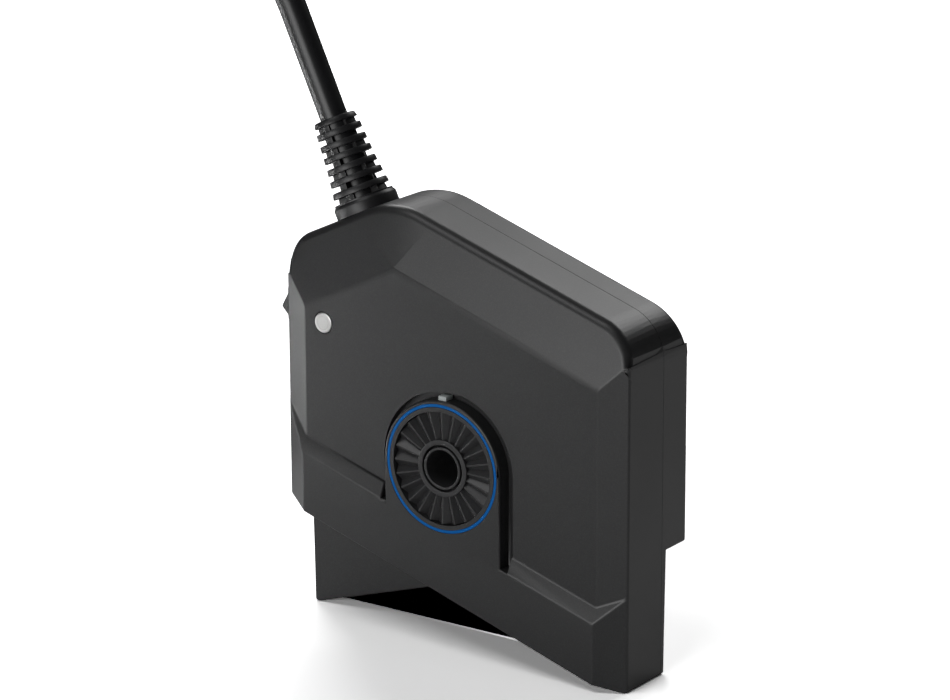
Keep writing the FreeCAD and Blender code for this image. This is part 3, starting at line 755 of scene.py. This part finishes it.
# Index mark: a small block in the groove above the hub, in mm from the hub's middle and face
mark = {"half": 1.3, "depth": (0.7, 4.0), "height": (19.45, 20.75), "round": 0.16}


def makeMark(facts):
    bm = bmesh.new()
    bmesh.ops.create_cube(bm, size=1)
    near, far = facts["depth"]
    low, high = facts["height"]
    for vert in bm.verts:
        x, y, z = vert.co
        spot = (hubX + 2 * facts["half"] * x, -hub["face"] + near + (far - near) * (y + 0.5),
                hubZ + low + (high - low) * (z + 0.5))
        vert.co = Vector(spot) * mm
    bmesh.ops.bevel(bm, geom=list(bm.edges), offset=facts["round"] * mm, segments=3, profile=0.5,
                    affect="EDGES")
    addPiece("index_marker", meshFrom(bm, "index_marker"), "grey_plastic", replaced=("index_mark",))


makeMark(mark)

# Temperature button: turned disc with a fine groove, in mm
button = {"radius": 2.94, "length": 3.6}


def makeButton(facts):
    radius, length = facts["radius"], facts["length"]
    profile = [(0, 0.02), (0.9, 0.01), (1.75, 0), (1.82, 0.06), (1.94, 0.06), (2.01, 0), (2.5, 0),
               (2.75, 0.04), (2.88, 0.13), (radius, 0.28), (radius, length), (0, length)]
    spot = middleOf("temperature_button")
    spot.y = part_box("temperature_button")[0].y
    place = axisPlace(spot, (0, 1, 0))
    spunPiece("sensor_button", profile, place, "steel", replaced=("temperature_button",), crease=28)


makeButton(button)

# Strain relief boot: one turned body whose slots leave ribs to the sides or to front and back, in mm
boot = {
    "outline": [(9.2, 0), (9.2, 3.2), (8.7, 4.0), (8.0, 7.5), (7.2, 14), (6.4, 25.9), (5.9, 27.7)],
    "slots": 7, "start": 4.2, "pitch": 3.38, "width": 1.6,
    "core": 4.6,            # radius at the bottom of the slots
    "lowRib": 0.6,          # height over the core of the ribs that cross the side slots
    "sideRib": 2.5, "frontRib": 1.6,        # half widths
    "sideSunk": 0.8, "frontSunk": 0.8,      # how far the ribs lie under the outline
    "lip": 0.2, "length": 27.7, "steps": 144,
}


def outlineRadius(facts, along):
    outline = facts["outline"]
    for (r1, s1), (r2, s2) in zip(outline, outline[1:]):
        if along <= s2:
            return r1 + (r2 - r1) * (along - s1) / max(s2 - s1, 1e-6)
    return outline[-1][0]


def makeBoot(facts):
    lip = facts["lip"]
    profile = [(0, 0.0), (9.0, 0.0), (9.2, 0.2), (9.2, 2.7), (9.12, 3.0), (8.9, 3.35), (8.6, 3.75)]
    slots = [(facts["start"] + i * facts["pitch"], i) for i in range(facts["slots"])]
    for start, i in slots:
        end = start + facts["width"]
        full = outlineRadius(facts, start)
        profile += [(full - 0.06, start - 0.07), (full - lip, start - 0.01), (full - lip, start + 0.01)]
        # ribbed sets the radius of these
        profile += [(full, start + t * facts["width"]) for t in (0.12, 0.3, 0.5, 0.7, 0.88)]
        after = outlineRadius(facts, end)
        profile += [(after - lip, end - 0.01), (after - lip, end + 0.01), (after - 0.06, end + 0.07)]
        stops = (end + lip, facts["length"] - 0.4)
        if i < facts["slots"] - 1:
            until = slots[i + 1][0]
            stops = (end + lip, (end + until) / 2, until - lip)
        profile += [(outlineRadius(facts, along), along) for along in stops]
    length = facts["length"]
    profile += [(5.85, length - 0.15), (5.7, length), (4.05, length), (0, length)]

    def ribbed(radius, along, angle):
        slot = int((along - facts["start"]) // facts["pitch"])
        inside = along - facts["start"] - slot * facts["pitch"]
        if not (0 <= slot < facts["slots"] and 0.001 < inside < facts["width"] - 0.001):
            return radius
        full = outlineRadius(facts, along)
        across, ahead = abs(full * math.sin(angle)), abs(full * math.cos(angle))
        if slot % 2 == 0:
            if across < facts["sideRib"]:
                return full - facts["sideSunk"]
            if ahead < facts["frontRib"]:
                return facts["core"] + facts["lowRib"]
        elif ahead < facts["frontRib"]:
            return full - facts["frontSunk"]
        return facts["core"]

    place = axisPlace(exitPoint, exitAxis)
    spunPiece("relief_boot", profile, place, "boot_rubber", replaced=("strain_relief_boot",),
              steps=facts["steps"], shape=ribbed, crease=32)


makeBoot(boot)
print("button and boot made")

# Strap round the hank, in mm: a rounded band with raised selvedges
strap = {
    "middle": -265.0, "width": 16.0, "thick": 1.2,
    "reach": 37.5, "top": 58.7, "corner": 5.2,
    "selvedge": 1.2, "sunk": 0.18,
}


def strapPath(facts, inset):
    # Closed loop in the YZ plane
    reach, top = facts["reach"] - inset, facts["top"] - inset
    radius = max(facts["corner"] - inset, 0.5)
    path = []
    for middle, start in (((reach - radius, top - radius), 0), ((-reach + radius, top - radius), 90),
                          ((-reach + radius, inset + radius), 180), ((reach - radius, inset + radius), 270)):
        for step in range(9):
            angle = math.radians(start + 90 * step / 8)
            path.append((middle[0] + radius * math.cos(angle), middle[1] + radius * math.sin(angle)))
    return path


def makeStrap(facts):
    half, thick, rim, sunk = facts["width"] / 2, facts["thick"], facts["selvedge"], facts["sunk"]
    section = [(-half, 0.3), (-half + 0.3, 0), (-half + rim, 0), (-half + rim + 0.25, sunk),
               (half - rim - 0.25, sunk), (half - rim, 0), (half - 0.3, 0), (half, 0.3),
               (half, thick - 0.2), (half - 0.2, thick), (-half + 0.2, thick), (-half, thick - 0.2)]
    bm = bmesh.new()
    rows = []
    for across, inset in section:
        rows.append([bm.verts.new(Vector((facts["middle"] + across, y, z)) * mm)
                     for y, z in strapPath(facts, inset)])
    count = len(rows[0])
    for i, row in enumerate(rows):
        after = rows[(i + 1) % len(rows)]
        for j in range(count):
            k = (j + 1) % count
            bm.faces.new((row[j], row[k], after[k], after[j]))
    return addPiece("hank_strap", meshFrom(bm, "hank_strap"), "tie_strap", replaced=("hank_tie",), crease=40)


strapPiece = makeStrap(strap)

# Plug, in mm along its axis from the cable end
plug = {
    "start": (-315.0, 0.0, 11.7),
    "boot": [(0, 0), (4.9, 0), (5.35, 0.5), (5.6, 1.9), (5.2, 2.1), (5.3, 2.9), (5.9, 3.2), (6.1, 4.6),
             (5.7, 4.8), (5.8, 5.6), (6.45, 5.9), (6.7, 7.4), (6.3, 7.6), (6.4, 8.4), (7.05, 8.7),
             (7.6, 11.0), (8.1, 13.6), (8.1, 14), (0, 14)],
    "body": [(0, 14), (8.9, 14), (9.5, 14.6), (9.5, 17.4), (9.2, 17.7), (9.2, 18.5), (9.5, 18.8), (9.5, 32.6),
             (9.0, 34), (7.7, 34), (7.7, 48.4), (7.2, 49), (6.7, 49), (6.7, 34.4), (0, 34.4)],
    "collar": [(8.0, 34.3), (10.9, 34.3), (11.3, 34.5), (11.5, 34.9), (11.5, 36.6), (11.5, 37.0),
               (11.5, 49.9), (11.5, 50.3), (11.5, 51.6), (11.2, 52.1), (10.7, 52.3), (8.4, 52.3),
               (8.0, 51.9)],
    "grips": 12, "gripFrom": 36.8, "gripTo": 50.1, "gripRadius": 1.0,
    "insert": [(0, 34), (6.55, 34), (6.6, 34.2), (6.6, 44.7), (6.3, 45), (0, 45)],
    "pins": 8, "pinCircle": 4.0, "pin": [(0, 45.0), (0.5, 45.0), (0.5, 49.0), (0.38, 49.35), (0, 49.5)],
    "seal": [(6.5, 49.05), (7.7, 49.05), (7.7, 50.35), (6.5, 50.35)],
}


def makePlug(facts):
    start = Vector(facts["start"]) * mm
    place = axisPlace(start, (-1, 0, 0))
    radius = max(r for r, _ in facts["collar"])
    made = [spunPiece("plug_relief", facts["boot"], place, "boot_rubber", replaced=("plug_boot",), crease=40),
            spunPiece("plug_shell", facts["body"], place, "plug_plastic", replaced=("plug_body",), crease=35),
            spunPiece("plug_core", facts["insert"], place, "insert_plastic", replaced=("plug_insert",)),
            spunPiece("plug_gasket", facts["seal"], place, "seal_rubber", replaced=("plug_seal",),
                      closed=True, rounding=0.45, crease=60)]

    def gripped(r, along, angle):
        if r < radius - 0.05 or not facts["gripFrom"] <= along <= facts["gripTo"]:
            return r
        turn = 2 * math.pi / facts["grips"]
        # the frame's grips start from straight up
        off = (angle + turn / 2) % turn - turn / 2
        across = radius * math.sin(off)
        if abs(across) >= facts["gripRadius"]:
            return r
        return r - math.sqrt(facts["gripRadius"] ** 2 - across ** 2)

    made.append(spunPiece("lock_collar", facts["collar"], place, "collar_plastic", body=collarBody,
                          replaced=("plug_collar",), steps=180, closed=True, shape=gripped, crease=35))
    bm = bmesh.new()
    spinProfile(bm, facts["pin"], axisPlace((0, 0, facts["pinCircle"] * mm), (-1, 0, 0)), steps=12)
    pinMesh = meshFrom(bm, "pin")
    bm = bmesh.new()
    joinRepeated(bm, pinMesh, facts["pins"], start, (1, 0, 0), "gold")
    made.append(addPiece("plug_pins", meshFrom(bm, "plug_pins"), "gold", replaced=("plug_contacts",),
                         crease=40))
    return made


plugPieces = makePlug(plug)
print("strap and plug made")

# Floor and light
studio = {
    "floorSize": 8.0,       # metres, as all places and sizes here
    "floorColor": 0.86,
    "floorSeen": 2.8,       # the same floor as the camera sees it: pale, with its shadows kept
    "aim": (0, 0, 0.06),
    "distance": 2.0,
    "lamps": [
        # name, degrees to the left of the front, elevation, size, power
        ("front low", 0, 8, (1.3, 0.9), 18.5),
        ("left low", 25, 8, (0.7, 0.6), 2.0),
        ("front high", 25, 62, (0.9, 0.9), 7.0),
        ("back left", 135, 38, (0.9, 0.8), 12.0),
        ("back", 180, 38, (1.1, 0.7), 10.0),
    ],
    # Light that the floor beside the left edge throws up at the narrow bevel
    "pool": ("pool", (-0.46, -0.14, 0.28), (-0.44, -0.13, 0), (0.12, 0.4), 2.2),
}


def areaLamp(name, place, aim, size, power):
    lamp = bpy.data.lights.new(name, "AREA")
    lamp.shape, lamp.size, lamp.size_y, lamp.energy = "RECTANGLE", size[0], size[1], power
    holder = bpy.data.objects.new(name, lamp)
    scene.collection.objects.link(holder)
    holder.location = place
    holder.rotation_euler = (Vector(aim) - Vector(place)).to_track_quat("-Z", "Y").to_euler()
    holder.visible_camera = False
    return holder


def makeFloor(facts):
    floorMesh = bpy.data.meshes.new("floor")
    half = facts["floorSize"] / 2
    corners = [(-half, -half, 0), (half, -half, 0), (half, half, 0), (-half, half, 0)]
    floorMesh.from_pydata(corners, [], [(0, 1, 2, 3)])
    floor = bpy.data.objects.new("floor", floorMesh)
    scene.collection.objects.link(floor)
    paint = bpy.data.materials.new("floor_paint")
    paint.use_nodes = True
    tree = paint.node_tree
    shader = setInputs(tree.nodes["Principled BSDF"], Roughness=1.0, Specular_IOR_Level=0.0)
    path = node(tree, "ShaderNodeLightPath")
    pale = setInputs(node(tree, "ShaderNodeMapRange"), To_Min=facts["floorColor"], To_Max=facts["floorSeen"])
    link(tree, path.outputs["Is Camera Ray"], pale.inputs["Value"])
    link(tree, pale.outputs[0], shader.inputs["Base Color"])
    floorMesh.materials.append(paint)


def makeStudio(facts):
    makeFloor(facts)
    aim = Vector(facts["aim"])
    for name, left, elevation, size, power in facts["lamps"]:
        left, elevation = math.radians(left), math.radians(elevation)
        way = Vector((-math.sin(left) * math.cos(elevation), -math.cos(left) * math.cos(elevation),
                      math.sin(elevation)))
        areaLamp(name, aim + way * facts["distance"], aim, size, power)
    pool = areaLamp(*facts["pool"])
    pool.visible_glossy = False
    pool.data.spread = math.radians(70)
    world = bpy.data.worlds.new("studio")
    world.use_nodes = True
    scene.world = world
    tree = world.node_tree
    sky = tree.nodes["Background"]
    sky.inputs["Color"].default_value = (1, 1, 1, 1)
    path = node(tree, "ShaderNodeLightPath")
    seen = setInputs(node(tree, "ShaderNodeMapRange"), To_Min=0.0, To_Max=1.0)
    link(tree, path.outputs["Is Camera Ray"], seen.inputs["Value"])
    link(tree, seen.outputs[0], sky.inputs["Strength"])


makeStudio(studio)
print("studio set")
